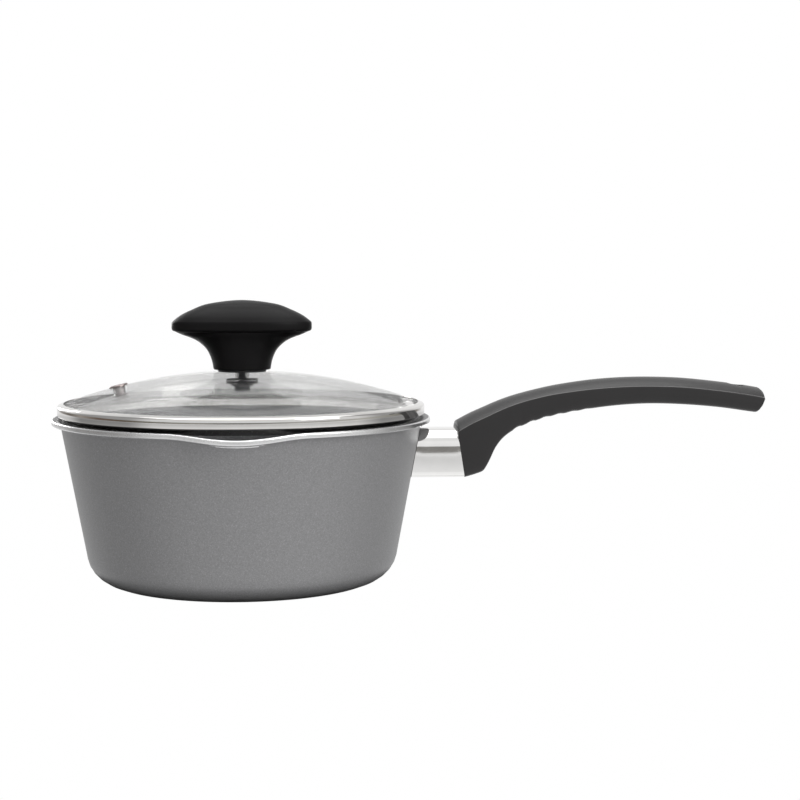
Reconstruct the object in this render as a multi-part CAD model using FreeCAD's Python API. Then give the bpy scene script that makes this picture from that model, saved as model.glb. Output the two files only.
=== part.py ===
import FreeCAD, Part
import math
import os

# Saucepan with a domed glass lid.
# Millimetres. The origin is the centre of the pan's underside, +Z is up, the handle runs
# along +X, and the two pouring lips face -Y and +Y. The lid sits closed.

# ---------------------------------------------------------------- pan: driving sizes
rim_radius = 94.0           # outer edge of the rolled-out rim
pan_height = 81.7           # underside to top of rim
wall_lean = 10.5            # degrees that the wall leans out from upright
wall = 2.5
base_thickness = 3.2
base_corner = 15.1          # outside radius between base and wall
rim_flange = 4.35           # how far the rim stands out from the wall
rim_thickness = 2.6
rim_throat = 4.0            # inside radius where the wall turns out into the rim
rim_edge_round = 0.7
groove_radii = (20.0, 30.0, 40.0, 50.0)     # turned rings under the base
groove_width = 1.2
groove_depth = 0.35

# pouring lips, one on each side
lip_half_angle = 21.0       # degrees to each side of the lip's middle
lip_drop = 2.3
lip_reach = 4.5
lip_depth = 22.0            # how far down the wall the lip is drawn out
lip_steps = 10              # radial sections that shape one lip
rim_root = 2.0              # how far the drawn rim's root is let into the wall
rim_let_in = 0.06

# ---------------------------------------------------------------- handle: driving sizes
mount_drop = 18.3           # handle axis below the top of the rim
guard_width = 24.0
guard_height = 24.2
guard_length = 22.3         # from the wall to the handle, at the handle axis
guard_sheet = 0.8
guard_shoulder = 8.5        # rounding of the guard's upper corners
guard_toe = 3.0             # rounding of its lower corners
front_lean = 8.8            # degrees that the handle's front face leans back to the pan
handle_half_width = 12.5
handle_waist = 11.6         # half width where the fingers close round it
handle_crown = 4.2          # height of the crowned top above its side creases
handle_heel_round = 4.0     # rounding of the underside's edges
spigot_length = 6.0         # nose of the handle inside the guard
spigot_clearance = 0.15
hang_hole_radius = 4.5
hang_hole_from_end = 14.0
ridge_count = 6
ridge_pitch = 7.0
ridge_radius = 4.2
ridge_bite = 0.8            # depth of each finger groove
first_ridge = 28.5          # from the handle's front to the first finger groove

screw_radius = 2.5          # M5 nominal
thread_clearance = 0.05
stud_radius = 5.0
stud_pad_radius = 8.0
stud_pad_length = 3.0
stud_gap = 0.2              # between the stud's end and the handle's nose
head_radius = 4.2
head_height = 3.0
counterbore_radius = 5.2
screw_hole_radius = 2.8
web = 9.0                   # handle wall that the screw clamps, behind the front face
lock_washer_thickness = 1.2
lock_washer_radius = 4.4
drive_slot_length = 4.6
drive_slot_width = 1.0
drive_slot_depth = 1.6

# ---------------------------------------------------------------- lid: driving sizes
band_inset = 2.8            # lid band's outside, in from the rim's edge
lid_gap = 1.5               # daylight between the rim and the band's lower corner
band_sheet = 0.5
band_cover = 3.2            # how far the band's top laps over the glass
seat_width = 3.4            # band's lower flange, outside to skirt
seat_clearance = 0.3        # skirt above the pan's throat
skirt_taper = 1.2           # lead-in: how far the skirt leans in towards its lower edge
glass_thickness = 4.0
glass_edge_gap = 0.3
dome_radius = 255.0         # outside of the glass
vent_from_axis = 61.0
vent_bore = 1.9
vent_sleeve = 3.0
vent_flange = 4.7
vent_flange_thickness = 0.8
glass_hole_clearance = 0.15

knob_half_length = 34.9
knob_half_width = 16.5
knob_height = 34.6
knob_neck_radius = 14.2
knob_foot_half_width = 14.0
knob_neck_height = 19.0     # foot to the underside of the wings
knob_tip_round = 1.6
knob_tip_height = 3.0       # upright edge at the wings' tips
knob_clearance = 0.03       # round the moulded-in insert
insert_radius = 4.2
insert_length = 13.0
gasket_radius = 12.0
gasket_thickness = 0.8
glass_bore = 3.6
seal_radius = 7.9
seal_thickness = 2.2
cup_radius = 6.6
cup_thickness = 1.4
knob_screw_head_radius = 3.9
knob_screw_head_height = 2.8
knob_screw_reach = 11.0     # thread engaged in the insert

# ---------------------------------------------------------------- small geometry tools
UP = FreeCAD.Vector(0, 0, 1)
AHEAD = FreeCAD.Vector(1, 0, 0)
ACROSS = FreeCAD.Vector(0, 1, 0)
ORIGIN = FreeCAD.Vector(0, 0, 0)


def point(x, y, z):
    return FreeCAD.Vector(x, y, z)


def rounded_wire(corners):
    """Closed wire through (position, corner radius) pairs, each corner rounded by an arc."""
    edges = []
    joins = []
    count = len(corners)
    for i in range(count):
        here, radius = corners[i]
        to_last = (corners[i - 1][0] - here).normalize()
        to_next = (corners[(i + 1) % count][0] - here).normalize()
        if radius <= 0:
            joins.append((here, None, here))
            continue
        half = to_last.getAngle(to_next) / 2
        inset = radius / math.tan(half)
        middle = here + (to_last + to_next).normalize() * (radius / math.sin(half) - radius)
        joins.append((here + to_last * inset, middle, here + to_next * inset))
    for i in range(count):
        start, middle, end = joins[i]
        if middle is not None:
            edges.append(Part.Arc(start, middle, end).toShape())
        following = joins[(i + 1) % count][0]
        if end.distanceToPoint(following) > 1e-6:
            edges.append(Part.LineSegment(end, following).toShape())
    return Part.Wire(edges)


def upright_wire(corners):
    """Closed wire in the XZ plane from (x, z, corner radius)."""
    return rounded_wire([(point(x, 0, z), radius) for x, z, radius in corners])


def turned(corners, angle=360.0):
    """Solid turned about the Z axis from (radius, z, corner radius)."""
    return Part.Face(upright_wire(corners)).revolve(ORIGIN, UP, angle)


def rod(radius, x_low, x_high, z):
    return Part.makeCylinder(radius, x_high - x_low, point(x_low, 0, z), AHEAD)


def disc(radius, z_low, z_high):
    return Part.makeCylinder(radius, z_high - z_low, point(0, 0, z_low), UP)


def save(name, shape):
    if not shape.isValid():
        raise ValueError(name + " is not a valid shape")
    shape.exportStep("parts/" + name + ".step")
    print(name, len(shape.Solids), "solid(s)", round(shape.Volume / 1000, 2), "cm3")


# ---------------------------------------------------------------- pan body
# Pressed aluminium: a thick flat base, a leaning wall and a rim turned out flat.
lean = math.tan(math.radians(wall_lean))
flange_under = pan_height - rim_thickness
wall_top_radius = rim_radius - rim_flange
wall_across = wall / math.cos(math.radians(wall_lean))
lip_start = flange_under - lip_depth


def wall_radius(z):
    """Outside radius of the straight wall."""
    return wall_top_radius - (flange_under - z) * lean


def inner_radius(z):
    return wall_radius(z) - wall_across


lower_pan = turned([
    (0, 0, 0),
    (wall_radius(0), 0, base_corner),
    (wall_radius(lip_start), lip_start, 0),
    (inner_radius(lip_start), lip_start, 0),
    (inner_radius(base_thickness), base_thickness, base_corner - wall),
    (0, base_thickness, 0),
])
for groove_radius in groove_radii:
    lower_pan = lower_pan.cut(turned([
        (groove_radius - groove_width / 2, -1, 0),
        (groove_radius + groove_width / 2, -1, 0),
        (groove_radius, groove_depth, 0),
    ]))


def rim_section(drawn):
    """Upper wall and rim; drawn runs from 0 on the plain rim to 1 in a lip's middle."""
    out = lip_reach * drawn
    down = lip_drop * drawn
    root = lip_start - rim_root
    return upright_wire([
        (wall_radius(root) - rim_let_in, root, 0),
        (wall_radius(lip_start) - rim_let_in, lip_start, 0),
        (wall_top_radius + out, flange_under - down, 1.6),
        (rim_radius + out, flange_under - down, rim_edge_round),
        (rim_radius + out, pan_height - down, rim_edge_round),
        (inner_radius(pan_height) + out, pan_height - down, rim_throat),
        (inner_radius(lip_start) + rim_let_in, lip_start, 0),
        (inner_radius(root) + rim_let_in, root, 0),
    ])


def rim_section_at(drawn, degrees):
    section = rim_section(drawn)
    section.rotate(ORIGIN, UP, degrees)
    return section


# Two drawn lips and two plain stretches make the rim's ring. Its root is let into the wall below.
pan_body = lower_pan
for lip_angle in (-90.0, 90.0):
    sections = []
    for i in range(lip_steps + 1):
        share = 2.0 * i / lip_steps - 1.0
        drawn = 0.5 + 0.5 * math.cos(math.pi * share)
        sections.append(rim_section_at(drawn, lip_angle + share * lip_half_angle))
    lip = Part.makeLoft(sections, True, False)
    plain_face = Part.Face(rim_section_at(0, lip_angle + lip_half_angle))
    plain_rim = plain_face.revolve(ORIGIN, UP, 180.0 - 2 * lip_half_angle)
    pan_body = pan_body.fuse([lip, plain_rim])

# everything inside the pan's outer skin, for trimming what meets the wall
pan_envelope = turned([
    (0, 0, 0),
    (wall_radius(0), 0, base_corner),
    (wall_radius(pan_height), pan_height, 0),
    (0, pan_height, 0),
])

# ---------------------------------------------------------------- handle fixing
# A tapped stud welded to the wall, the guard slipped over it, and one screw from the heel.
mount_z = pan_height - mount_drop
wall_x = wall_radius(mount_z)
front_x = wall_x + guard_length
front_slope = math.tan(math.radians(front_lean))
nose_x = front_x - spigot_length
stud_end = nose_x - stud_gap
clamp_x = front_x + web

handle_stud = rod(stud_pad_radius, wall_x - 2 * wall, wall_x + stud_pad_length, mount_z)
handle_stud = handle_stud.fuse(rod(stud_radius, wall_x, stud_end, mount_z)).cut(pan_envelope)
handle_stud = handle_stud.cut(rod(screw_radius, wall_x + stud_pad_length, stud_end + 1, mount_z))


def guard_wire(x, shrink):
    """Arched section of the flame guard, shrunk on every side."""
    half = guard_width / 2 - shrink
    low = mount_z - guard_height / 2 + shrink
    high = mount_z + guard_height / 2 - shrink
    return rounded_wire([
        (point(x, -half, low), max(guard_toe - shrink, 0.5)),
        (point(x, half, low), max(guard_toe - shrink, 0.5)),
        (point(x, half, high), guard_shoulder - shrink),
        (point(x, -half, high), guard_shoulder - shrink),
    ])


def guard_bar(x_low, x_high, shrink):
    return Part.Face(guard_wire(x_low, shrink)).extrude(AHEAD * (x_high - x_low))


# block that starts at the handle's leaning front face and runs on past it
beyond = 3 * guard_height
front_cutter = Part.Face(upright_wire([
    (front_x - beyond * front_slope, mount_z + beyond, 0),
    (front_x + beyond * front_slope, mount_z - beyond, 0),
    (front_x + 2 * beyond, mount_z - beyond, 0),
    (front_x + 2 * beyond, mount_z + beyond, 0),
])).extrude(ACROSS * 2 * beyond)
front_cutter.translate(ACROSS * -beyond)

guard_far = front_x + guard_height
flame_guard = guard_bar(wall_x - guard_height, guard_far, 0)
flame_guard = flame_guard.cut(guard_bar(wall_x - guard_height, guard_far, guard_sheet))
flame_guard = flame_guard.cut(pan_envelope).cut(front_cutter)
flame_guard = max(flame_guard.Solids, key=lambda solid: solid.CenterOfMass.x)

# ---------------------------------------------------------------- handle
# Moulded phenolic. Stations from front to end, from the front face at the handle axis:
# the crowned top's (along, up), the underside's (along, up), and the half width.
stations = [
    ((-front_slope * 15.2, 15.2), (front_slope * 12.3, -12.3), handle_half_width),
    ((5.0, 19.1), (6.8, -10.9), handle_half_width),
    ((11.0, 21.8), (11.0, -9.3), handle_half_width),
    ((14.0, 23.1), (12.9, -6.9), handle_half_width),
    ((17.2, 24.5), (14.7, -3.5), 12.4),
    ((22.0, 26.4), (17.8, 2.9), 12.2),
    ((28.0, 28.4), (22.4, 8.3), 12.0),
    ((37.0, 30.8), (30.0, 12.9), 11.7),
    ((49.5, 33.5), (43.5, 17.6), handle_waist),
    ((66.0, 35.9), (63.0, 21.4), handle_waist),
    ((81.0, 37.1), (80.0, 23.5), handle_waist),
    ((96.0, 37.4), (96.0, 24.3), 11.8),
    ((113.0, 36.8), (113.0, 23.8), 12.1),
    ((131.0, 35.0), (131.0, 22.3), 12.4),
    ((147.0, 32.8), (146.0, 20.2), handle_half_width),
    ((155.8, 31.2), (151.4, 19.5), handle_half_width),
]


def handle_point(along_up):
    return point(front_x + along_up[0], 0, mount_z + along_up[1])


def handle_section(top, bottom, half_width):
    """Crowned top between two creases, flat sides, rounded underside."""
    crown = handle_point(top)
    keel = handle_point(bottom)
    rise = (crown - keel).normalize()
    side = ACROSS * half_width
    crease = crown - rise * handle_crown
    bevel = handle_heel_round
    turn = bevel * (1 - math.sqrt(0.5))
    foot = keel + rise * bevel
    toe = ACROSS * (half_width - bevel)
    knee = ACROSS * (half_width - turn)
    return Part.Wire([
        Part.Arc(crease - side, crown, crease + side).toShape(),
        Part.LineSegment(crease + side, foot + side).toShape(),
        Part.Arc(foot + side, keel + rise * turn + knee, keel + toe).toShape(),
        Part.LineSegment(keel + toe, keel - toe).toShape(),
        Part.Arc(keel - toe, keel + rise * turn - knee, foot - side).toShape(),
        Part.LineSegment(foot - side, crease - side).toShape(),
    ])


handle = Part.makeLoft([handle_section(*station) for station in stations], True, False)

underside = Part.BSplineCurve()
underside.interpolate([handle_point(station[1]) for station in stations])


def underside_at(x):
    """Height of the underside at x, found by halving the curve's range."""
    low = underside.FirstParameter
    high = underside.LastParameter
    for _ in range(40):
        middle = (low + high) / 2
        if underside.value(middle).x < x:
            low = middle
        else:
            high = middle
    return underside.value(low).z


for i in range(ridge_count):
    groove_x = front_x + first_ridge + i * ridge_pitch
    groove_z = underside_at(groove_x) + ridge_bite - ridge_radius
    groove_y = -2 * handle_half_width
    groove = Part.makeCylinder(ridge_radius, 4 * handle_half_width,
                               point(groove_x, groove_y, groove_z), ACROSS)
    handle = handle.cut(groove)

nose = guard_bar(nose_x, front_x + 3 * front_lean, guard_sheet + spigot_clearance)
nose = nose.cut(front_cutter)
handle = handle.fuse(nose)
handle = handle.cut(rod(screw_hole_radius, nose_x - 1, clamp_x + 1, mount_z))
handle = handle.cut(rod(counterbore_radius, clamp_x, clamp_x + 2 * guard_height, mount_z))

handle_end_x = front_x + stations[-1][0][0]
hang_x = handle_end_x - hang_hole_from_end
handle = handle.cut(Part.makeCylinder(hang_hole_radius, 3 * guard_height,
                                      point(hang_x, 0, mount_z - guard_height), UP))

head_x = clamp_x + lock_washer_thickness
cross = []
for width, depth in ((drive_slot_length, drive_slot_width), (drive_slot_width, drive_slot_length)):
    corner = point(head_x + head_height - drive_slot_depth, -width / 2, mount_z - depth / 2)
    cross.append(Part.makeBox(drive_slot_depth + 1, width, depth, corner))
handle_screw = rod(head_radius, head_x, head_x + head_height, mount_z)
head_rim = handle_screw.Edges
handle_screw = handle_screw.makeFillet(0.8, [e for e in head_rim if e.CenterOfMass.x > head_x + 2])
screw_tip = wall_x + stud_pad_length + 1.0
handle_screw = handle_screw.fuse(rod(screw_radius - thread_clearance, screw_tip, head_x, mount_z))
handle_screw = handle_screw.cut(cross[0]).cut(cross[1])

lock_washer = rod(lock_washer_radius, clamp_x, head_x, mount_z)
lock_washer = lock_washer.cut(rod(screw_radius + 0.2, clamp_x - 1, head_x + 1, mount_z))
lock_washer = lock_washer.cut(Part.makeBox(4, 0.8, head_radius * 2, point(clamp_x - 1, -0.4, mount_z)))

# ---------------------------------------------------------------- lid band
# Thin stainless channel rolled round the glass, with a skirt that drops into the pan's throat.
band_radius = rim_radius - band_inset
band_low = pan_height + lid_gap
glass_radius = band_radius - band_sheet - glass_edge_gap
edge_slope = math.asin(glass_radius / dome_radius)
glass_edge_low = band_low + band_sheet + 0.05
glass_edge_high = glass_edge_low + glass_thickness / math.cos(edge_slope)
dome_centre = glass_edge_high - math.sqrt(dome_radius ** 2 - glass_radius ** 2)
inner_dome = dome_radius - glass_thickness


def dome_z(radius_out, sphere):
    """Height of a sphere about the dome's centre, at a distance out from the axis."""
    return dome_centre + math.sqrt(sphere ** 2 - radius_out ** 2)


lap_radius = band_radius - band_cover
seat_radius = band_radius - seat_width
throat_floor = pan_height - rim_throat
throat_centre = inner_radius(pan_height) + rim_throat * math.tan(math.radians(45 - wall_lean / 2))
throat_reach = throat_centre - seat_radius
skirt_low = throat_floor + math.sqrt(max(rim_throat ** 2 - throat_reach ** 2, 0)) + seat_clearance
lap_gap = 0.05
lap_outer_sphere = dome_radius + lap_gap + band_sheet
band_top_corner = dome_z(band_radius, lap_outer_sphere)
lid_band = turned([
    (band_radius, band_low, 0.9),
    (band_radius, band_top_corner, 1.2),
    (lap_radius, dome_z(lap_radius, lap_outer_sphere), 0),
    (lap_radius, dome_z(lap_radius, dome_radius + lap_gap), 0),
    (band_radius - band_sheet, dome_z(band_radius - band_sheet, dome_radius + lap_gap), 0.7),
    (band_radius - band_sheet, band_low + band_sheet, 0.4),
    (seat_radius - band_sheet, band_low + band_sheet, 0.4),
    (seat_radius - skirt_taper - band_sheet, skirt_low, 0),
    (seat_radius - skirt_taper, skirt_low, 0),
    (seat_radius, band_low, 0.3),
])

# ---------------------------------------------------------------- lid glass
# Toughened glass dome with a hole for the knob's screw and one for the steam vent.
glass_top = dome_z(0, dome_radius)
glass_under = dome_z(0, inner_dome)
outer_ball = Part.makeSphere(dome_radius, point(0, 0, dome_centre))
inner_ball = Part.makeSphere(inner_dome, point(0, 0, dome_centre))
glass_blank = disc(glass_radius, glass_edge_low - 1, glass_top + 1)
lid_glass = glass_blank.common(outer_ball).cut(inner_ball)
lid_glass = lid_glass.cut(disc(glass_bore, glass_under - 1, glass_top + 1))

vent_tilt = math.asin(vent_from_axis / (dome_radius - glass_thickness / 2))
vent_axis = point(-math.sin(vent_tilt), 0, math.cos(vent_tilt))
dome_middle = point(0, 0, dome_centre)


def vent_rod(radius, sphere_low, sphere_high):
    """Cylinder on the vent's axis between two distances from the dome's centre."""
    return Part.makeCylinder(radius, sphere_high - sphere_low,
                             dome_middle + vent_axis * sphere_low, vent_axis)


lid_glass = lid_glass.cut(vent_rod(vent_sleeve + glass_hole_clearance, inner_dome - 1, dome_radius + 1))

# steam vent: a stainless eyelet whose tail is rolled over under the glass
sag = dome_radius - math.sqrt(dome_radius ** 2 - vent_flange ** 2)
flange_low = dome_radius - sag
vent_eyelet = vent_rod(vent_flange, flange_low, dome_radius + vent_flange_thickness)
vent_eyelet = vent_eyelet.makeFillet(vent_flange_thickness * 0.7, [
    edge for edge in vent_eyelet.Edges
    if (edge.CenterOfMass - dome_middle).Length > dome_radius + vent_flange_thickness / 2])
vent_eyelet = vent_eyelet.cut(outer_ball)
tail = vent_rod(vent_flange - 0.4, inner_dome - vent_flange_thickness, inner_dome + 1)
tail = tail.common(inner_ball)
sleeve = vent_rod(vent_sleeve, inner_dome - vent_flange_thickness, dome_radius + vent_flange_thickness / 2)
vent_eyelet = vent_eyelet.fuse(sleeve).fuse(tail)
vent_eyelet = vent_eyelet.cut(vent_rod(vent_bore, inner_dome - 5, dome_radius + 5))

# ---------------------------------------------------------------- knob and its screw
# A winged phenolic knob: an oval crown on a flared neck. Stations up the neck: share of its
# height, and share of the way out from the round foot to the wings.
knob_base = glass_top + gasket_thickness
wing_low = knob_base + knob_neck_height
crown_length = knob_half_length - knob_tip_round
oval = knob_half_width / knob_half_length
neck_stations = [
    (0.00, 0.000),
    (0.20, 0.035),
    (0.38, 0.095),
    (0.54, 0.185),
    (0.69, 0.335),
    (0.81, 0.530),
    (0.91, 0.800),
    (1.00, 1.000),
]
neck_rings = []
for up, out in neck_stations:
    half_length = knob_neck_radius + (crown_length - knob_neck_radius) * out
    half_width = knob_foot_half_width + (crown_length * oval - knob_foot_half_width) * out
    ring_centre = point(0, 0, knob_base + up * knob_neck_height)
    neck_rings.append(Part.Wire([Part.Ellipse(ring_centre, half_length, half_width).toShape()]))
neck = Part.makeLoft(neck_rings, True, False)

tip_low = wing_low + knob_tip_round
tip_high = tip_low + knob_tip_height
knob_top = knob_base + knob_height
dome_rise = knob_top - tip_high
tip_corner = crown_length + knob_tip_round * math.sqrt(0.5)
tip_middle = point(tip_corner, 0, tip_low - knob_tip_round * math.sqrt(0.5))
crown_curve = Part.BSplineCurve()
crown_curve.interpolate(Points=[
    point(knob_half_length, 0, tip_high),
    point(knob_half_length * 0.875, 0, tip_high + dome_rise * 0.30),
    point(knob_half_length * 0.705, 0, tip_high + dome_rise * 0.57),
    point(knob_half_length * 0.465, 0, tip_high + dome_rise * 0.84),
    point(0, 0, knob_top),
], InitialTangent=point(-0.9, 0, 1), FinalTangent=point(-1, 0, 0))
crown_outline = Part.Wire([
    Part.LineSegment(point(0, 0, wing_low), point(crown_length, 0, wing_low)).toShape(),
    Part.Arc(point(crown_length, 0, wing_low), tip_middle, point(knob_half_length, 0, tip_low)).toShape(),
    Part.LineSegment(point(knob_half_length, 0, tip_low), point(knob_half_length, 0, tip_high)).toShape(),
    crown_curve.toShape(),
    Part.LineSegment(point(0, 0, knob_top), point(0, 0, wing_low)).toShape(),
])
squeeze = FreeCAD.Matrix()
squeeze.scale(1, oval, 1)
crown = Part.Face(crown_outline).revolve(ORIGIN, UP, 360).transformGeometry(squeeze)
knob = neck.fuse(crown)
knob = knob.cut(disc(insert_radius + knob_clearance, knob_base - 1, knob_base + insert_length))

knob_insert = disc(insert_radius, knob_base, knob_base + insert_length - knob_clearance)
knob_insert = knob_insert.cut(disc(screw_radius, knob_base - 1, knob_base + insert_length - 1.0))

knob_gasket = disc(gasket_radius, glass_top - 1, knob_base).cut(outer_ball)
knob_gasket = knob_gasket.cut(disc(glass_bore, glass_top - 2, knob_base + 1))

# rubber seal, steel cup washer and pan-head screw under the glass
seal_low = glass_under - seal_thickness
glass_seal = disc(seal_radius, seal_low, glass_under + 1)
glass_seal = glass_seal.common(inner_ball).cut(disc(glass_bore, seal_low - 1, glass_under + 2))
cup_low = seal_low - cup_thickness
cup_washer = turned([
    (screw_radius + 0.2, seal_low, 0),
    (screw_radius + 0.2, cup_low, 0),
    (cup_radius - cup_thickness, cup_low, 0.4),
    (cup_radius, seal_low, 0),
])
head_low = cup_low - knob_screw_head_height
knob_screw = disc(knob_screw_head_radius, head_low, cup_low)
knob_screw = knob_screw.makeFillet(1.1, [e for e in knob_screw.Edges if e.CenterOfMass.z < head_low + 0.1])
knob_screw = knob_screw.fuse(disc(screw_radius - thread_clearance, cup_low, knob_base + knob_screw_reach))
for width, depth in ((drive_slot_length, drive_slot_width), (drive_slot_width, drive_slot_length)):
    corner = point(-width / 2, -depth / 2, head_low - 1)
    knob_screw = knob_screw.cut(Part.makeBox(width, depth, drive_slot_depth + 1, corner))

# ---------------------------------------------------------------- one file per piece
os.makedirs("parts", exist_ok=True)
save("pan_body", pan_body)
save("handle_stud", handle_stud)
save("flame_guard", flame_guard)
save("handle", handle)
save("handle_screw", handle_screw)
save("lock_washer", lock_washer)
save("lid_band", lid_band)
save("lid_glass", lid_glass)
save("vent_eyelet", vent_eyelet)
save("knob", knob)
save("knob_insert", knob_insert)
save("knob_gasket", knob_gasket)
save("glass_seal", glass_seal)
save("cup_washer", cup_washer)
save("knob_screw", knob_screw)
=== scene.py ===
import math

import bmesh
import bpy
from mathutils import Matrix, Vector


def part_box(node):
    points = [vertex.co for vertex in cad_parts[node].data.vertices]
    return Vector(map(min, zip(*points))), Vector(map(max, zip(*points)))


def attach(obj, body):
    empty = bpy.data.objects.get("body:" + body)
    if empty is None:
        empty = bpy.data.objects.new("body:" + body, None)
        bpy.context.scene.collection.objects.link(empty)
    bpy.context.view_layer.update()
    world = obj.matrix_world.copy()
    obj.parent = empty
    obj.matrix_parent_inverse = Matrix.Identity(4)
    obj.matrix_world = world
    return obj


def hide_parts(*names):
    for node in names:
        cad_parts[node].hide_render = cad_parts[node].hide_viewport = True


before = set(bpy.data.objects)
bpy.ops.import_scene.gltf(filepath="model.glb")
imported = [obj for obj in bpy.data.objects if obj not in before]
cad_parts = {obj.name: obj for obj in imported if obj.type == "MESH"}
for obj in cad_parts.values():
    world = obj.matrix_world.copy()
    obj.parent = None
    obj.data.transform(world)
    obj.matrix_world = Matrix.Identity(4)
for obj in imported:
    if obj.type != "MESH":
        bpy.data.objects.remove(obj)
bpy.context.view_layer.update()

scene = bpy.context.scene

# ------------------------------------------------------------------ pan body
# The pan is one pressed and spun piece of aluminium: a thick flat base, a leaning wall and a
# rim turned out flat. The outside is sprayed with a grey fleck coating and the inside with a
# dark speckled non-stick one; the rim's edge and the turned base are left bare.

mm = 0.001
pan_low, pan_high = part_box("pan_body")
pan_height = pan_high.z
rim_radius = -pan_low.x
wall_lean = math.radians(10.5)
wall_thickness = 2.5 * mm
wall_across = wall_thickness / math.cos(wall_lean)
base_thickness = 3.2 * mm
base_corner = 15.1 * mm
rim_flange = 4.35 * mm
rim_thickness = 2.6 * mm
rim_throat = 4.0 * mm
rim_edge_round = 0.7 * mm
rim_under_round = 1.6 * mm
bare_rim = 1.2 * mm          # width of the rim's edge that the coating leaves free
flange_under = pan_height - rim_thickness
wall_top_radius = rim_radius - rim_flange
lip_half_angle = math.radians(21.0)
lip_drop = 2.3 * mm
lip_reach = pan_high.y - rim_radius
lip_depth = 22.0 * mm
lip_curl = 1.5               # how sharply a lip turns out towards its top
turned_base_radius = 57.0 * mm
first_ring = 20.0 * mm
ring_pitch = 10.0 * mm
ring_count = 4
ring_half_width = 2.0 * mm
ring_depth = 0.35 * mm
sharp_corner = math.radians(32.0)


def wall_radius(height):
    """Outside radius of the leaning wall."""
    return wall_top_radius - (flange_under - height) * math.tan(wall_lean)


def outline(mesh, corners, segments=5, closed=False):
    """Draws (radius, height, corner radius) as a wire in the XZ plane, with its corners rounded."""
    joints = [mesh.verts.new((radius, 0, height)) for radius, height, _ in corners]
    for start, end in zip(joints, joints[1:] + joints[:1] if closed else joints[1:]):
        mesh.edges.new((start, end))
    for joint, (_, _, rounding) in zip(joints, corners):
        if rounding:
            before, after = [edge.other_vert(joint).co - joint.co for edge in joint.link_edges]
            bmesh.ops.bevel(mesh, geom=[joint], offset=rounding / math.tan(before.angle(after) / 2),
                            offset_type="OFFSET", segments=segments, profile=0.5,
                            affect="VERTICES", material=-1, clamp_overlap=False)


def turn(mesh, steps):
    """Spins the drawn outline once round the upright axis and closes it."""
    bmesh.ops.spin(mesh, geom=mesh.verts[:] + mesh.edges[:], cent=(0, 0, 0), axis=(0, 0, 1),
                   angle=math.tau, steps=steps, use_merge=True, use_duplicate=False)
    bmesh.ops.remove_doubles(mesh, verts=mesh.verts[:], dist=1e-6)
    bmesh.ops.recalc_face_normals(mesh, faces=mesh.faces[:])


def make_piece(mesh, name, *finishes):
    """Turns a mesh into an object at the origin, smooth but for its sharp corners."""
    for face in mesh.faces:
        face.smooth = True
    for edge in mesh.edges:
        edge.smooth = edge.calc_face_angle(0.0) < sharp_corner
    data = bpy.data.meshes.new(name)
    mesh.to_mesh(data)
    mesh.free()
    piece = bpy.data.objects.new(name, data)
    scene.collection.objects.link(piece)
    for finish in finishes:
        data.materials.append(finish)
    return piece


class Amount:
    """A number that varies over a surface; arithmetic on it adds Math nodes."""

    def __init__(self, tree, socket):
        self.tree = tree
        self.socket = socket

    def maths(self, operation, *values):
        node = self.tree.nodes.new("ShaderNodeMath")
        node.operation = operation
        for slot, value in zip(node.inputs, values):
            if isinstance(value, Amount):
                self.tree.links.new(value.socket, slot)
            else:
                slot.default_value = value
        return Amount(self.tree, node.outputs[0])

    def __add__(self, other):
        return self.maths("ADD", self, other)

    def __mul__(self, other):
        return self.maths("MULTIPLY", self, other)

    def __truediv__(self, other):
        return self.maths("DIVIDE", self, other)

    def __pow__(self, other):
        return self.maths("POWER", self, other)

    __radd__ = __add__
    __rmul__ = __mul__


class Finish:
    """The nodes of one finish, or of the studio's surroundings."""

    def __init__(self, owner):
        owner.use_nodes = True
        self.owner = owner
        self.tree = owner.node_tree
        self.tree.nodes.clear()

    def node(self, kind, settings=None, output=0, **sockets):
        """Adds a node: its settings first, then values or links for its sockets."""
        made = self.tree.nodes.new(kind)
        for name, value in (settings or {}).items():
            if name == "stops":
                ramp = made.color_ramp.elements
                while len(ramp) < len(value):
                    ramp.new(1.0)
                for stop, (place, colour) in zip(ramp, value):
                    stop.position = place
                    stop.color = (*colour, 1.0)
            else:
                setattr(made, name, value)
        for name, value in sockets.items():
            words = name.replace("_", " ")
            named = [s for s in made.inputs if s.enabled and s.name.lower() == words]
            slot = named[0] if named else made.inputs[int(name[1:])]
            if isinstance(value, Amount):
                self.tree.links.new(value.socket, slot)
            else:
                slot.default_value = value
        return Amount(self.tree, made.outputs[output]) if made.outputs else None

    def mix(self, share, first, second):
        """Blends two colours."""
        return self.node("ShaderNodeMix", {"data_type": "RGBA"}, output=2,
                         s0=share, s6=first, s7=second)

    def place(self):
        return self.node("ShaderNodeTexCoord", output=3)

    def noise(self, place, size, detail=2.0, roughness=0.5, stretch=(1, 1, 1)):
        """Cloudy variation of about the given size, from 0 to 1."""
        spread = self.node("ShaderNodeMapping", vector=place, scale=stretch)
        return self.node("ShaderNodeTexNoise", vector=spread, scale=1.0 / size, detail=detail,
                         roughness=roughness)

    def radius(self, place):
        """Distance from the upright axis."""
        split = self.node("ShaderNodeSeparateXYZ", s0=place)
        across = Amount(self.tree, split.socket.node.outputs[1])
        return (split * split + across * across) ** 0.5

    def bump(self, height, depth):
        return self.node("ShaderNodeBump", strength=1.0, distance=depth, height=height)

    def surface(self, **sockets):
        shader = self.node("ShaderNodeBsdfPrincipled", **sockets)
        self.node("ShaderNodeOutputMaterial", surface=shader)
        return self.owner


def new_finish(name):
    return Finish(bpy.data.materials.new(name))


def greys(*stops):
    """A ramp's stops, each a place and a brightness."""
    return [(place, (bright, bright, bright)) for place, bright in stops]


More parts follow.
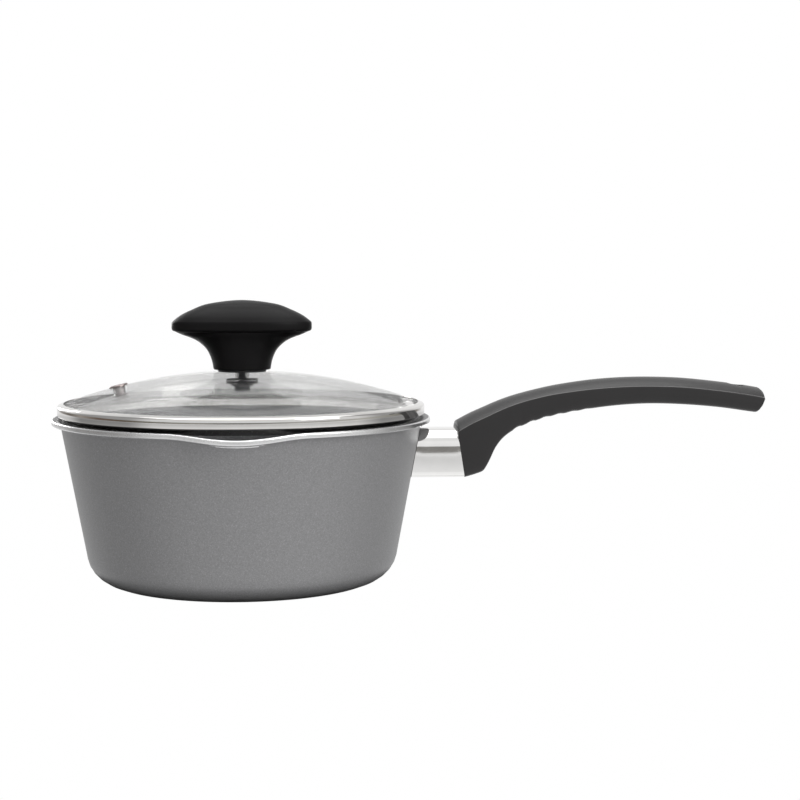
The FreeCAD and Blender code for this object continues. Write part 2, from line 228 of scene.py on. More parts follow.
def fleck_coating():
    finish = new_finish("grey fleck coating")
    place = finish.place()
    mottle = finish.noise(place, 0.9 * mm, detail=3.0, roughness=0.6)
    flecks = finish.noise(place, 0.45 * mm, detail=1.0)
    bright = finish.node("ShaderNodeValToRGB", {"stops": greys((0.56, 0), (0.72, 1))}, fac=flecks)
    grey = finish.node("ShaderNodeValToRGB",
                       {"stops": [(0.3, (0.175, 0.175, 0.178)), (0.7, (0.22, 0.22, 0.224))]},
                       fac=mottle)
    colour = finish.mix(bright * 0.35, grey, (0.42, 0.42, 0.43, 1))
    return finish.surface(base_color=colour, metallic=0.25 + 0.3 * bright,
                          roughness=0.4 + 0.14 * mottle, ior=1.5,
                          normal=finish.bump(mottle + 0.6 * flecks, 0.05 * mm))


def non_stick():
    finish = new_finish("dark non-stick")
    place = finish.place()
    peel = finish.noise(place, 1.8 * mm, detail=2.0)
    dust = finish.noise(place, 0.4 * mm, detail=0.0)
    specks = finish.node("ShaderNodeValToRGB", {"stops": greys((0.68, 0), (0.78, 1))}, fac=dust)
    colour = finish.mix(specks * 0.5, (0.05, 0.05, 0.052, 1), (0.2, 0.2, 0.204, 1))
    return finish.surface(base_color=colour, metallic=0.25, roughness=0.3 + 0.1 * peel,
                          normal=finish.bump(peel, 0.04 * mm))


def bare_aluminium():
    finish = new_finish("turned bare aluminium")
    place = finish.place()
    radius = finish.radius(place)
    rings = radius.maths("SINE", radius * (math.tau / (0.5 * mm)))
    cloud = finish.noise(place, 9.0 * mm, detail=3.0)
    colour = finish.mix(cloud, (0.62, 0.62, 0.625, 1), (0.72, 0.72, 0.72, 1))
    return finish.surface(base_color=colour, metallic=1.0, roughness=0.2 + 0.12 * cloud,
                          normal=finish.bump(rings, 0.006 * mm))


inner_top = wall_radius(pan_height) - wall_across
inner_foot = wall_radius(base_thickness) - wall_across
base_rings = []
for ring in range(ring_count):
    ring_radius = first_ring + ring * ring_pitch
    base_rings += [(ring_radius - ring_half_width, 0, 0), (ring_radius, ring_depth, 0),
                   (ring_radius + ring_half_width, 0, 0)]
shell = bmesh.new()
outline(shell, [
    (0, 0, 0),
    *base_rings,
    (turned_base_radius, 0, 0),
    (wall_radius(0), 0, base_corner),
    (wall_top_radius, flange_under, rim_under_round),
    (rim_radius, flange_under, rim_edge_round),
    (rim_radius, pan_height, rim_edge_round),
    (inner_top, pan_height, rim_throat),
    (inner_foot, base_thickness, base_corner - wall_thickness),
    (0, base_thickness, 0),
], segments=6)
long_walls = [edge for edge in shell.edges
              if abs(edge.verts[0].co.z - edge.verts[1].co.z) > pan_height / 2]
bmesh.ops.subdivide_edges(shell, edges=long_walls, cuts=16)
turn(shell, steps=240)
for vert in shell.verts:
    from_lip = abs(abs(math.atan2(vert.co.y, vert.co.x)) - math.pi / 2)
    up = min(max((vert.co.z - flange_under + lip_depth) / lip_depth, 0.0), 1.0)
    if from_lip < lip_half_angle and up > 0 and math.hypot(vert.co.x, vert.co.y) > inner_foot:
        drawn = 0.5 + 0.5 * math.cos(math.pi * from_lip / lip_half_angle)
        out = Vector((vert.co.x, vert.co.y, 0)).normalized()
        vert.co += out * lip_reach * drawn * up ** lip_curl
        vert.co.z -= lip_drop * drawn * up
coated_outside, coated_inside, bare = range(3)
for face in shell.faces:
    middle = face.calc_center_median()
    radius = math.hypot(middle.x, middle.y)
    facing_out = Vector((middle.x, middle.y, 0)).dot(face.normal) > 0 or face.normal.z < -0.2
    on_base = radius < turned_base_radius and middle.z < base_thickness / 2
    on_rim = radius > rim_radius - bare_rim and middle.z > flange_under - lip_drop - bare_rim
    if on_base or (on_rim and facing_out and face.normal.z > -0.75):
        face.material_index = bare
    else:
        face.material_index = coated_outside if facing_out else coated_inside
pan = make_piece(shell, "pan_shell", fleck_coating(), non_stick(), bare_aluminium())
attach(pan, "pan")
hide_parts("pan_body")

# ------------------------------------------------------------------ handle stud
# A tapped aluminium stud, welded by its pad to the pan's wall. The guard hides it.
# Its CAD shape stays and takes the bare aluminium.


def recoat(node, material):
    """Gives a CAD node's surface another finish."""
    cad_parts[node].data.materials.clear()
    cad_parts[node].data.materials.append(material)


recoat("handle_stud", bpy.data.materials["turned bare aluminium"])

# ------------------------------------------------------------------ flame guard
# A short arched sleeve of polished stainless sheet between the pan and the handle. It is
# folded from flat strip, trimmed to the wall's curve and held by the handle's screw.

guard_low, guard_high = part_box("flame_guard")
guard_half_width = guard_high.y
guard_middle = (guard_low.z + guard_high.z) / 2
guard_sheet = 0.8 * mm
guard_shoulder = 8.5 * mm
guard_toe = 3.0 * mm
guard_length = 22.3 * mm
guard_steps = 6
front_slope = math.tan(math.radians(8.8))
front_x = wall_radius(guard_middle) + guard_length
wall_gap = 0.25 * mm


def polished_steel():
    finish = new_finish("polished stainless")
    place = finish.place()
    drawn = finish.noise(place, 0.5 * mm, detail=2.0, stretch=(0.06, 1, 1))
    smear = finish.noise(place, 7.0 * mm, detail=3.0)
    colour = finish.mix(smear, (0.76, 0.755, 0.745, 1), (0.84, 0.835, 0.825, 1))
    return finish.surface(base_color=colour, metallic=1.0,
                          roughness=0.03 + 0.03 * smear + 0.03 * drawn,
                          normal=finish.bump(drawn, 0.001 * mm))


sleeve = bmesh.new()
outline(sleeve, [
    (-guard_half_width, guard_low.z, guard_toe),
    (guard_half_width, guard_low.z, guard_toe),
    (guard_half_width, guard_high.z, guard_shoulder),
    (-guard_half_width, guard_high.z, guard_shoulder),
], segments=10, closed=True)
bmesh.ops.rotate(sleeve, verts=sleeve.verts[:], cent=(0, 0, 0),
                 matrix=Matrix.Rotation(math.pi / 2, 3, "Z"))
row = sleeve.edges[:]
for step in range(1, guard_steps + 1):
    grown = bmesh.ops.extrude_edge_only(sleeve, edges=row)["geom"]
    for vert in grown:
        if isinstance(vert, bmesh.types.BMVert):
            vert.co.x += 1.0
    row = [edge for edge in grown if isinstance(edge, bmesh.types.BMEdge)
           and all(abs(vert.co.x - step) < 1e-4 for vert in edge.verts)]
for vert in sleeve.verts:
    along = vert.co.x / guard_steps
    at_wall = math.sqrt(wall_radius(vert.co.z) ** 2 - vert.co.y ** 2) + wall_gap
    at_handle = front_x - front_slope * (vert.co.z - guard_middle)
    vert.co.x = at_wall + (at_handle - at_wall) * along
bmesh.ops.recalc_face_normals(sleeve, faces=sleeve.faces[:])
bmesh.ops.solidify(sleeve, geom=sleeve.faces[:], thickness=guard_sheet)
guard = make_piece(sleeve, "guard_sleeve", polished_steel())
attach(guard, "pan")
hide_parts("flame_guard")

# ------------------------------------------------------------------ handle
# Moulded phenolic: a crowned top between two creases, flat sides, a rounded underside with
# shallow finger grooves, a hanging hole, and a screw's counterbore through the heel.

handle_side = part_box("handle")[1].y
crown_rise = 4.2 * mm
lower_round = 4.0 * mm
groove_count = 6
groove_pitch = 7.0 * mm
groove_bite = 0.65 * mm
groove_reach = 2.4 * mm      # half a groove's width along the handle
groove_fade = 0.12           # share of the bite that each groove loses to the one before
first_groove = 28.5 * mm
front_round = 1.2 * mm       # of the front face's upper edge, above the guard
end_top_round = 1.0 * mm
end_low_round = 2.2 * mm
end_fade = 0.3               # share of the last stretch over which the crown sinks
end_crown = 0.68             # share of the crown that is left at the end
crease_angle = math.radians(38.0)
crease_round = 0.6 * mm
highlight_strip = 1.6 * mm      # how far in from the sides the creases get a painted highlight
lengthwise = 220
crosswise = 40
# steps round half of the section at which the crown, the side and the lower corner end
crown_end, side_end, corner_end, half_round = 6, 10, 15, crosswise // 2
# from the front face at the screw's axis, in millimetres: crown line, underside, half width
stations = [
    ((-2.35, 15.2), (1.9, -12.3), 12.5),
    ((5.0, 19.1), (6.8, -10.9), 12.5),
    ((11.0, 21.8), (11.0, -9.3), 12.5),
    ((14.0, 23.1), (12.9, -6.9), 12.5),
    ((17.2, 24.5), (14.7, -3.5), 12.4),
    ((22.0, 26.4), (17.8, 2.9), 12.2),
    ((28.0, 28.4), (22.4, 8.3), 12.0),
    ((37.0, 30.8), (30.0, 12.9), 11.7),
    ((49.5, 33.5), (43.5, 17.6), 11.6),
    ((66.0, 35.9), (63.0, 21.4), 11.6),
    ((81.0, 37.1), (80.0, 23.5), 11.6),
    ((96.0, 37.4), (96.0, 24.3), 11.8),
    ((113.0, 36.8), (113.0, 23.8), 12.1),
    ((131.0, 35.0), (131.0, 22.3), 12.4),
    ((147.0, 32.8), (146.0, 20.2), 12.5),
    ((155.8, 31.2), (151.4, 19.5), 12.5),
]


def along_curve(points, share):
    """A smooth line through the points, evaluated at a share of its length from 0 to 1."""
    place = share * (len(points) - 1)
    index = min(int(place), len(points) - 2)
    t = place - index
    here, there = points[index], points[index + 1]
    before = points[index - 1] if index > 0 else here * 2 - there
    after = points[index + 2] if index < len(points) - 2 else there * 2 - here
    return 0.5 * (2 * here + (there - before) * t
                  + (2 * before - 5 * here + 4 * there - after) * t ** 2
                  + (3 * (here - there) + after - before) * t ** 3)


def taken_off(distance, radius):
    """How much a rounded corner has taken off at a distance in from its end."""
    if distance >= radius:
        return 0.0
    return radius - math.sqrt(radius ** 2 - (radius - distance) ** 2)


def satin_phenolic(name, dark, light, roughness, shine):
    finish = new_finish(name)
    place = finish.place()
    grain = finish.noise(place, 0.35 * mm, detail=2.0)
    flow = finish.noise(place, 14.0 * mm, detail=2.0)
    colour = finish.mix(grain * 0.5 + flow * 0.5, dark, light)
    return finish.surface(base_color=colour, roughness=roughness + 0.1 * grain, ior=1.5,
                          specular_ior_level=shine, normal=finish.bump(grain, 0.03 * mm))


crown_line = [Vector(top) for top, _, _ in stations]
keel_line = [Vector(bottom) for _, bottom, _ in stations]
half_widths = [Vector((half, 0)) for _, _, half in stations]

grip = bmesh.new()
bmesh.ops.create_grid(grip, x_segments=lengthwise, y_segments=crosswise, size=0.5)
for vert in grip.verts:
    share = min(max(vert.co.x + 0.5, 0.0), 1.0)
    round_share = (vert.co.y + 0.5) % 1.0
    crown = along_curve(crown_line, share) * mm
    keel = along_curve(keel_line, share) * mm
    half = along_curve(half_widths, share).x * mm
    rise = (crown - keel).normalized()
    height = (crown - keel).length
    from_front = share * (len(stations) - 1) * (crown_line[1] - crown_line[0]).length * mm
    to_end = (1.0 - share) * (len(stations) - 1)
    to_end_top = to_end * (crown_line[-1] - crown_line[-2]).length * mm
    to_end_low = to_end * (keel_line[-1] - keel_line[-2]).length * mm
    crowned = crown_rise * min(1.0, end_crown + (1.0 - end_crown) * to_end / end_fade)
    height -= crown_rise - crowned
    height -= taken_off(from_front, front_round) + taken_off(to_end_top, end_top_round)
    low = taken_off(to_end_low, end_low_round)
    # once round the section: the crowned top, a side, the underside, the other side
    step = round(round_share * crosswise)
    mirrored = 1.0
    if step > half_round:
        step = crosswise - step
        mirrored = -1.0
    if step <= crown_end:
        across = half * step / crown_end
        up = height - crowned * (step / crown_end) ** 2
    elif step <= side_end:
        side_height = height - crowned - low - lower_round
        across = half
        up = low + lower_round + side_height * (side_end - step) / (side_end - crown_end)
    elif step <= corner_end:
        turned = math.pi / 2 * (step - side_end) / (corner_end - side_end)
        across = half - lower_round * (1 - math.cos(turned))
        up = low + lower_round * (1 - math.sin(turned))
    else:
        across = (half - lower_round) * (half_round - step) / (half_round - corner_end)
        up = low
    groove = (keel.x - first_groove) / groove_pitch
    from_groove = abs(groove - round(groove)) * groove_pitch
    in_grooves = -0.5 < groove < groove_count - 0.5 and from_groove < groove_reach
    if step >= side_end and in_grooves:
        up += groove_bite * (1 - (from_groove / groove_reach) ** 2) * (1 - groove_fade * groove)
    spot = keel + rise * up
    vert.co = Vector((front_x + spot.x, mirrored * across, guard_middle + spot.y))
bmesh.ops.remove_doubles(grip, verts=grip.verts[:], dist=1e-6)
bmesh.ops.holes_fill(grip, edges=[edge for edge in grip.edges if edge.is_boundary], sides=0)
bmesh.ops.recalc_face_normals(grip, faces=grip.faces[:])
creases = [edge for edge in grip.edges if edge.calc_face_angle(0.0) > crease_angle]
rounded = bmesh.ops.bevel(grip, geom=creases, offset=crease_round, offset_type="OFFSET", segments=3,
                          profile=0.5, affect="EDGES", material=-1, clamp_overlap=True)["faces"]
# Painted highlight: the upward-facing rounds of the creases near the sides take a lighter phenolic,
# standing in for the overhead light they catch.
for face in rounded:
    if face.normal.z > 0.2 and abs(face.calc_center_median().y) > handle_side - highlight_strip:
        face.material_index = 1
phenolic = satin_phenolic("satin phenolic", (0.0085, 0.008, 0.008, 1), (0.014, 0.013, 0.0135, 1),
                          0.32, 0.36)
# the handle's phenolic made lighter, used only as the creases' painted highlight
highlight_phenolic = satin_phenolic("painted highlight phenolic", (0.05, 0.048, 0.048, 1), (0.09, 0.087, 0.087, 1),
                        0.25, 0.5)
handle = make_piece(grip, "handle_grip", phenolic, highlight_phenolic)


def cut(piece, cutter):
    """Cuts one piece with another, which is then thrown away."""
    modifier = piece.modifiers.new("cut", "BOOLEAN")
    modifier.operation = "DIFFERENCE"
    modifier.solver = "EXACT"
    modifier.object = cutter
    shape = bpy.data.meshes.new_from_object(
        piece.evaluated_get(bpy.context.evaluated_depsgraph_get()))
    piece.modifiers.clear()
    piece.data = shape
    bpy.data.objects.remove(cutter)


hang_hole_radius = 4.5 * mm
hang_hole_from_end = 14.0 * mm
hang_bar_length = 60.0 * mm
hang_x = front_x + crown_line[-1].x * mm - hang_hole_from_end
hang_bar = bmesh.new()
outline(hang_bar, [(0, 0, 0), (hang_hole_radius, 0, 0), (hang_hole_radius, hang_bar_length, 0),
                   (0, hang_bar_length, 0)])
turn(hang_bar, steps=64)
bmesh.ops.translate(hang_bar, verts=hang_bar.verts[:], vec=(hang_x, 0, guard_middle))
cut(handle, make_piece(hang_bar, "hang_cutter"))

screw_hole_radius = 2.8 * mm
counterbore_radius = 5.2 * mm
counterbore_floor = 9.0 * mm     # from the handle's front face
screw_bar_start = -1.0 * mm
screw_bar_end = 40.0 * mm
screw_bar = bmesh.new()
outline(screw_bar, [
    (0, screw_bar_start, 0), (screw_hole_radius, screw_bar_start, 0),
    (screw_hole_radius, counterbore_floor, 0), (counterbore_radius, counterbore_floor, 0),
    (counterbore_radius, screw_bar_end, 0), (0, screw_bar_end, 0)])
turn(screw_bar, steps=64)
bmesh.ops.rotate(screw_bar, verts=screw_bar.verts[:], cent=(0, 0, 0),
                 matrix=Matrix.Rotation(math.pi / 2, 3, "Y"))
bmesh.ops.translate(screw_bar, verts=screw_bar.verts[:], vec=(front_x, 0, guard_middle))
cut(handle, make_piece(screw_bar, "screw_cutter"))
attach(handle, "pan")
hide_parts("handle")

# ------------------------------------------------------------------ handle screw and washer
# A zinc plated pan-head screw with a split lock washer, deep in the heel's counterbore.
# Their CAD shapes stay and take the plated steel.


def plated_steel():
    finish = new_finish("zinc plated steel")
    place = finish.place()
    film = finish.noise(place, 2.2 * mm, detail=3.0)
    colour = finish.mix(film, (0.52, 0.52, 0.53, 1), (0.66, 0.66, 0.67, 1))
    return finish.surface(base_color=colour, metallic=1.0, roughness=0.24 + 0.14 * film,
                          normal=finish.bump(film, 0.01 * mm))


plated = plated_steel()
recoat("handle_screw", plated)
recoat("lock_washer", plated)

# ------------------------------------------------------------------ lid glass
# A dome of toughened soda-lime glass, slightly green, with a hole for the knob's screw and
# one for the steam vent. Its edge is ground and sits inside the steel band.

glass_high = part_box("lid_glass")[1]
glass_radius = glass_high.x
glass_thickness = 4.0 * mm
dome_radius = 255.0 * mm
dome_centre = glass_high.z - dome_radius
inner_dome = dome_radius - glass_thickness
glass_bore = 3.6 * mm
glass_edge_round = 0.7 * mm
dome_steps = 28


def dome_height(radius, sphere):
    """Height of a sphere round the dome's centre, at a distance out from the axis."""
    return dome_centre + math.sqrt(sphere ** 2 - radius ** 2)


def clear_glass():
    finish = new_finish("clear toughened glass")
    place = finish.place()
    ripple = finish.noise(place, 30.0 * mm, detail=1.0)
    return finish.surface(base_color=(0.985, 0.998, 0.99, 1), transmission_weight=1.0, alpha=0.34,
                          roughness=0.0, ior=1.5, normal=finish.bump(ripple, 0.004 * mm))


pane = bmesh.new()
for sphere in (dome_radius, inner_dome):
    edge_angle = math.asin(glass_radius / sphere)
    bore_angle = math.asin(glass_bore / sphere)
    start = pane.verts.new((glass_bore, 0, dome_height(glass_bore, sphere)))
    bmesh.ops.spin(pane, geom=[start], cent=(0, 0, dome_centre), axis=(0, 1, 0),
                   angle=edge_angle - bore_angle, steps=dome_steps, use_merge=False,
                   use_duplicate=False)
for reach in (glass_bore, glass_radius):
    pair = [vert for vert in pane.verts if abs(vert.co.x - reach) < 1e-5]
    pane.edges.new(pair)
rim_corners = [vert for vert in pane.verts if abs(vert.co.x - glass_radius) < 1e-5]
bmesh.ops.bevel(pane, geom=rim_corners, offset=glass_edge_round, offset_type="OFFSET", segments=3,
                profile=0.5, affect="VERTICES", material=-1, clamp_overlap=False)
turn(pane, steps=192)
glass = make_piece(pane, "glass_dome", clear_glass())

vent_from_axis = 61.0 * mm
vent_tilt = math.asin(vent_from_axis / (dome_radius - glass_thickness / 2))
vent_hole_radius = 3.15 * mm
vent_bar_start = inner_dome - 5.0 * mm
vent_bar_end = dome_radius + 5.0 * mm
vent_bar = bmesh.new()
outline(vent_bar, [(0, vent_bar_start, 0), (vent_hole_radius, vent_bar_start, 0),
                   (vent_hole_radius, vent_bar_end, 0), (0, vent_bar_end, 0)])
turn(vent_bar, steps=48)


def stand_on_dome(mesh):
    """Tilts a mesh made on the upright axis onto the steam vent's axis."""
    bmesh.ops.rotate(mesh, verts=mesh.verts[:], cent=(0, 0, 0),
                     matrix=Matrix.Rotation(-vent_tilt, 3, "Y"))
    bmesh.ops.translate(mesh, verts=mesh.verts[:], vec=(0, 0, dome_centre))


stand_on_dome(vent_bar)
cut(glass, make_piece(vent_bar, "vent_cutter"))
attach(glass, "lid")
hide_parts("lid_glass")

# ------------------------------------------------------------------ lid band
# A thin polished stainless channel, rolled round the glass's edge. Its top laps over the
# glass, its lower flange turns in, and a skirt drops into the pan's throat.

band_low, band_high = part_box("lid_band")
band_radius = band_high.x
band_sheet = 0.5 * mm
band_floor = pan_height + 1.5 * mm
lap_radius = band_radius - 3.2 * mm
seat_radius = band_radius - 3.4 * mm
skirt_taper = 1.2 * mm
lap_gap = 0.05 * mm
outer_lap = dome_radius + lap_gap + band_sheet
inner_lap = dome_radius + lap_gap
channel = bmesh.new()
outline(channel, [
    (band_radius, band_floor, 0.9 * mm),
    (band_radius, dome_height(band_radius, outer_lap), 1.2 * mm),
    (lap_radius, dome_height(lap_radius, outer_lap), 0.2 * mm),
    (lap_radius, dome_height(lap_radius, inner_lap), 0),
    (band_radius - band_sheet, dome_height(band_radius - band_sheet, inner_lap), 0.7 * mm),
    (band_radius - band_sheet, band_floor + band_sheet, 0.4 * mm),
    (seat_radius - band_sheet, band_floor + band_sheet, 0.4 * mm),
    (seat_radius - skirt_taper - band_sheet, band_low.z, 0),
    (seat_radius - skirt_taper, band_low.z, 0),
    (seat_radius, band_floor, 0.3 * mm),
], segments=5, closed=True)
turn(channel, steps=256)


def rolled_steel():
    finish = new_finish("rolled polished stainless")
    place = finish.place()
    radius = finish.radius(place)
    split = finish.node("ShaderNodeSeparateXYZ", output=2, s0=place)
    lines = finish.noise(finish.node("ShaderNodeCombineXYZ", x=radius, z=split), 0.25 * mm)
    smear = finish.noise(place, 10.0 * mm, detail=3.0)
    colour = finish.mix(smear, (0.6, 0.59, 0.575, 1), (0.68, 0.67, 0.655, 1))
    return finish.surface(base_color=colour, metallic=1.0, roughness=0.03 + 0.03 * lines,
                          normal=finish.bump(lines, 0.0008 * mm))


band = make_piece(channel, "lid_band_ring", rolled_steel())
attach(band, "lid")
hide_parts("lid_band")

# ------------------------------------------------------------------ vent eyelet
# A small stainless eyelet that lets steam out. It is pressed through the hole in the glass
# and rolled over below.

eyelet_bore = 1.9 * mm
eyelet_sleeve = 3.0 * mm
lower_flange = 4.3 * mm
upper_flange = 4.7 * mm
flange_thickness = 0.8 * mm


def tumbled_steel():
    finish = new_finish("tumbled stainless")
    place = finish.place()
    wear = finish.noise(place, 1.5 * mm, detail=3.0)
    colour = finish.mix(wear, (0.2, 0.17, 0.165, 1), (0.33, 0.29, 0.28, 1))
    return finish.surface(base_color=colour, metallic=1.0, roughness=0.28 + 0.15 * wear,
                          normal=finish.bump(wear, 0.01 * mm))


eyelet = bmesh.new()
flange_sag = dome_radius - math.sqrt(dome_radius ** 2 - upper_flange ** 2)
outline(eyelet, [
    (eyelet_bore, inner_dome - flange_thickness, 0.3 * mm),
    (lower_flange, inner_dome - flange_thickness, 0.3 * mm),
    (lower_flange, inner_dome - flange_sag, 0),
    (eyelet_sleeve, inner_dome, 0),
    (eyelet_sleeve, dome_radius, 0),
    (upper_flange, dome_radius - flange_sag, 0),
    (upper_flange, dome_radius + flange_thickness, 0.55 * mm),
    (eyelet_bore, dome_radius + flange_thickness, 0.5 * mm),
], segments=5, closed=True)
turn(eyelet, steps=64)
stand_on_dome(eyelet)
vent = make_piece(eyelet, "vent_ring", tumbled_steel())
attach(vent, "lid")
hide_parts("vent_eyelet")

# ------------------------------------------------------------------ knob
# A winged knob moulded in black phenolic: a round foot flares up into two long wings under
# an oval crown. A brass insert is moulded into its foot.

knob_low, knob_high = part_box("knob")
knob_half_length = knob_high.x
knob_half_width = knob_high.y
foot_radius = 14.2 * mm
foot_half_width = 14.0 * mm
neck_height = 19.0 * mm
tip_round = 1.6 * mm
tip_height = 3.0 * mm
foot_round = 0.6 * mm
crown_edge_round = 1.4 * mm
insert_radius = 4.23 * mm
insert_depth = 13.0 * mm
flare_steps = 24
crown_length = knob_half_length - tip_round
wing_low = knob_low.z + neck_height
tip_high = wing_low + tip_round + tip_height
dome_rise = knob_high.z - tip_high
oval = knob_half_width / knob_half_length
# share of the neck's height, and share of the way out from the foot to the wings
flare = [Vector(s) for s in [(0, 0), (0.2, 0.035), (0.38, 0.095), (0.54, 0.185), (0.69, 0.335),
                             (0.81, 0.53), (0.91, 0.8), (1, 1)]]
# share of the knob's half length, and share of the rise from the tips to the top
crest = [Vector(s) for s in [(1, 0), (0.875, 0.3), (0.705, 0.57), (0.465, 0.84), (0, 1),
                             (-0.465, 0.84)]]
crest_steps = 30
top_step = 24               # the crest's last stretch lies past the top and isn't drawn
moulded = bmesh.new()
profile = [(0, knob_low.z + insert_depth, 0), (insert_radius, knob_low.z + insert_depth, 0),
           (insert_radius, knob_low.z, 0)]
for step in range(flare_steps + 1):
    up, out = along_curve(flare, step / flare_steps)
    profile.append((foot_radius + (crown_length - foot_radius) * out,
                    knob_low.z + neck_height * up, foot_round if step == 0 else 0))
profile.append((knob_half_length, wing_low, tip_round))
for step in range(top_step):
    out, up = along_curve(crest, step / crest_steps)
    profile.append((knob_half_length * out, tip_high + dome_rise * up,
                    crown_edge_round if step == 0 else 0))
profile.append((0, knob_high.z, 0))
outline(moulded, profile, segments=3)
turn(moulded, steps=160)
for vert in moulded.verts:
    radius = math.hypot(vert.co.x, vert.co.y)
    if vert.co.z > wing_low:
        vert.co.y *= oval
    elif radius > insert_radius + 1 * mm:
        out = max(radius - foot_radius, 0) / (crown_length - foot_radius)
        width = foot_half_width + (crown_length * oval - foot_half_width) * out
        vert.co.y *= width / (foot_radius + (crown_length - foot_radius) * out)
knob_black = satin_phenolic("black phenolic", (0.003, 0.0028, 0.003, 1),
                            (0.005, 0.0046, 0.005, 1), 0.34, 0.1)
knob = make_piece(moulded, "knob_body", knob_black)
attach(knob, "lid")
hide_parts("knob")

# ------------------------------------------------------------------ knob's fixing
# A brass insert in the foot, a silicone gasket on the glass, and below the glass a silicone
# seal, a stainless cup washer and a pan-head screw. Their CAD shapes stay.


def brass():
    finish = new_finish("turned brass")
    radius = finish.radius(finish.place())
    rings = radius.maths("SINE", radius * (math.tau / (0.3 * mm)))
    colour = finish.mix(0.5 + 0.5 * rings, (0.68, 0.49, 0.22, 1), (0.74, 0.55, 0.27, 1))
    return finish.surface(base_color=colour, metallic=1.0, roughness=0.3)


def silicone():
    finish = new_finish("black silicone")
    place = finish.place()
    bloom = finish.noise(place, 1.2 * mm, detail=2.0)
    colour = finish.mix(bloom, (0.012, 0.012, 0.013, 1), (0.024, 0.024, 0.026, 1))
    return finish.surface(base_color=colour, roughness=0.55 + 0.15 * bloom,
                          normal=finish.bump(bloom, 0.02 * mm))


def blackened_steel():
    finish = new_finish("blackened steel")
    place = finish.place()
    film = finish.noise(place, 1.5 * mm, detail=3.0)
    colour = finish.mix(film, (0.03, 0.03, 0.032, 1), (0.07, 0.07, 0.074, 1))
    return finish.surface(base_color=colour, metallic=0.7, roughness=0.34 + 0.14 * film,
                          normal=finish.bump(film, 0.01 * mm))


recoat("knob_insert", brass())
rubber = silicone()
recoat("knob_gasket", rubber)
recoat("glass_seal", rubber)
blackened = blackened_steel()
recoat("cup_washer", blackened)
recoat("knob_screw", blackened)

# ------------------------------------------------------------------ studio
# A plain white table with a large soft light overhead and one on each side. The polished
# metal reflects the room round it: walls, grey screens above them and the table's far edge.

table_half_length = 6.0
table_drop = 0.5 * mm
shade_radius = 79.0 * mm
shade_drop = 1.0 * mm
table_edge = -0.0725        # sine of the angle down to where the table ends
walls_top = -0.02
camera_tilt = math.radians(4.52)
camera_turn = math.radians(86.1314)

studio = bpy.data.worlds.new("studio")
scene.world = studio
room = Finish(studio)
direction = room.node("ShaderNodeTexCoord")
sideways = room.node("ShaderNodeSeparateXYZ", s0=direction)
behind = Amount(room.tree, sideways.socket.node.outputs[1])
height = Amount(room.tree, sideways.socket.node.outputs[2])
# turn round the horizon: 0 and 1 are towards the camera, and 0.5 is behind the pan
azimuth = sideways.maths("ARCTAN2", sideways, behind) / math.tau + 0.5
walls = room.node("ShaderNodeValToRGB", {"stops": [
    (0.0, (0.19, 0.185, 0.175)), (0.03, (0.24, 0.235, 0.22)), (0.07, (0.37, 0.36, 0.33)),
    (0.11, (0.3, 0.29, 0.26)), (0.162, (0.21, 0.2, 0.17)), (0.21, (0.15, 0.12, 0.095)),
    (0.27, (0.19, 0.145, 0.12)), (0.32, (0.4, 0.37, 0.34)), (0.36, (0.2, 0.18, 0.16)),
    (0.41, (0.42, 0.4, 0.38)), (0.45, (1, 1, 1)), (0.57, (1, 1, 1)), (0.61, (0.3, 0.28, 0.26)),
    (0.66, (0.2, 0.19, 0.175)), (0.7, (0.35, 0.34, 0.31)), (0.78, (0.6, 0.6, 0.56)),
    (0.86, (0.5, 0.49, 0.47)), (0.9, (0.5, 0.49, 0.47)), (1.0, (0.19, 0.185, 0.175)),
]}, fac=azimuth)
by_height = room.node("ShaderNodeValToRGB", {"stops": greys(
    (0.0, 1.1), (0.38, 1.0), (0.44, 0.74), (0.451, 0.74), (0.456, 0.92), (0.72, 1.0),
    (0.8, 0.9), (0.88, 0.9), (0.92, 1.4), (1.0, 1.4),
)}, fac=height * 0.5 + 0.5)
screens = room.node("ShaderNodeValToRGB", {"stops": greys(
    (0.0, 1), (0.15, 0.95), (0.2, 0.45), (0.32, 0.4), (0.37, 1), (0.6, 1), (0.65, 0.45),
    (0.73, 0.45), (0.79, 1), (1.0, 1),
)}, fac=azimuth)
screened = room.node("ShaderNodeMix", {"data_type": "RGBA", "blend_type": "MULTIPLY"}, output=2,
                     s0=1.0, s6=by_height, s7=screens)
at_horizon = (height.maths("GREATER_THAN", height, table_edge)
              * height.maths("LESS_THAN", height, walls_top))
surround = room.mix(at_horizon, screened, walls)
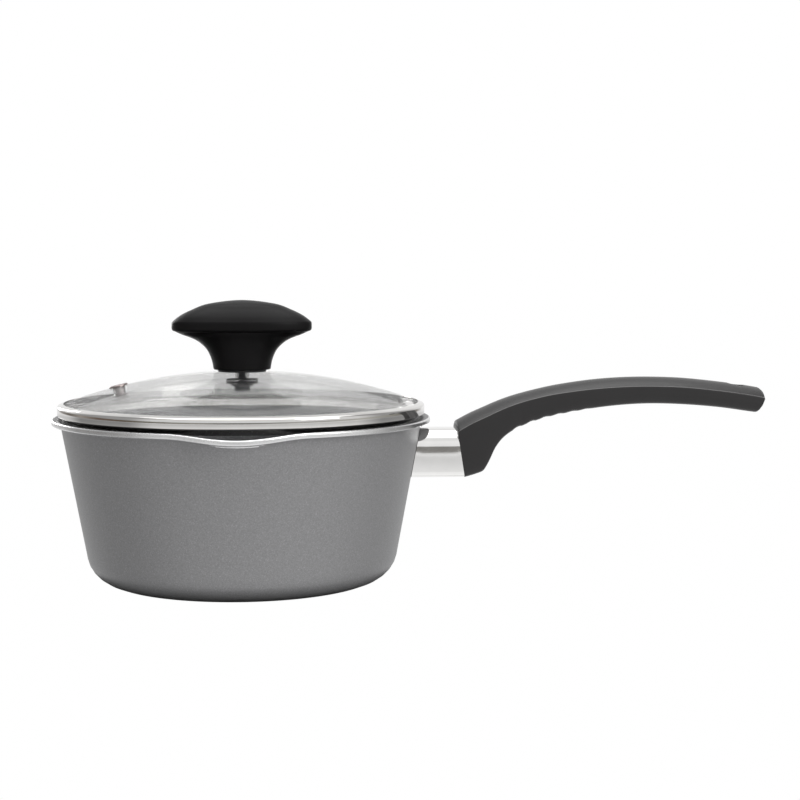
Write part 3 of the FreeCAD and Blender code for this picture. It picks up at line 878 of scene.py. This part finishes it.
# seen straight or through the glass, the room is plain white
seen = room.node("ShaderNodeLightPath")
through_glass = Amount(room.tree, seen.socket.node.outputs["Is Transmission Ray"])
glow = room.node("ShaderNodeBackground", color=surround, strength=1.0)
white = room.node("ShaderNodeBackground", color=(1, 1, 1, 1), strength=1.0)
lit = room.node("ShaderNodeMixShader", s0=seen.maths("MAXIMUM", seen, through_glass),
                s1=glow, s2=white)
room.node("ShaderNodeOutputWorld", surface=lit)

table_mesh = bmesh.new()
bmesh.ops.create_grid(table_mesh, x_segments=1, y_segments=1, size=table_half_length)
table_white = new_finish("white table")
grain = table_white.noise(table_white.place(), 0.2, detail=2.0)
table_glow = table_white.node("ShaderNodeEmission", strength=1.0,
                              color=table_white.mix(grain, (1, 1, 1, 1), (0.998, 0.998, 0.998, 1)))
table_white.node("ShaderNodeOutputMaterial", surface=table_glow)
floor = make_piece(table_mesh, "table_top", table_white.owner)
floor.location.z = -table_drop
floor.visible_diffuse = False
floor.visible_glossy = False
floor.visible_shadow = False

shade_mesh = bmesh.new()
bmesh.ops.create_circle(shade_mesh, cap_ends=True, segments=96, radius=shade_radius)
table_shade = new_finish("table's shaded patch")
table_shade.surface(base_color=(0.05, 0.05, 0.05, 1), roughness=0.9)
shade = make_piece(shade_mesh, "table_shade", table_shade.owner)
shade.location.z = -shade_drop
shade.visible_camera = False
shade.visible_transmission = False


def softbox(name, place, target, wide, tall, watts):
    light = bpy.data.lights.new(name, "AREA")
    light.shape = "RECTANGLE"
    light.size = wide
    light.size_y = tall
    light.energy = watts
    lamp = bpy.data.objects.new(name, light)
    lamp.location = place
    lamp.rotation_euler = (Vector(target) - Vector(place)).to_track_quat("-Z", "Y").to_euler()
    scene.collection.objects.link(lamp)


softbox("overhead_light", (0.05, 0.0, 0.9), (0.05, 0, 0), 1.0, 0.8, 6.0)
softbox("left_light", (-0.5, 0.86, 0.3), (0, 0, 0.05), 0.25, 0.4, 2.5)
softbox("right_light", (0.8, -0.7, 0.5), (0.05, 0, 0.05), 0.5, 0.5, 4.0)

lens = bpy.data.cameras.new("camera")
lens.lens = 75.71
lens.sensor_width = 36.0
lens.clip_start = 0.01
camera = bpy.data.objects.new("camera", lens)
camera.location = (0.0221012, -0.8440107, 0.15635)
camera.rotation_euler = (math.pi / 2 - camera_tilt, 0, camera_turn - math.pi / 2)
scene.collection.objects.link(camera)
scene.camera = camera
scene.view_settings.view_transform = "Standard"
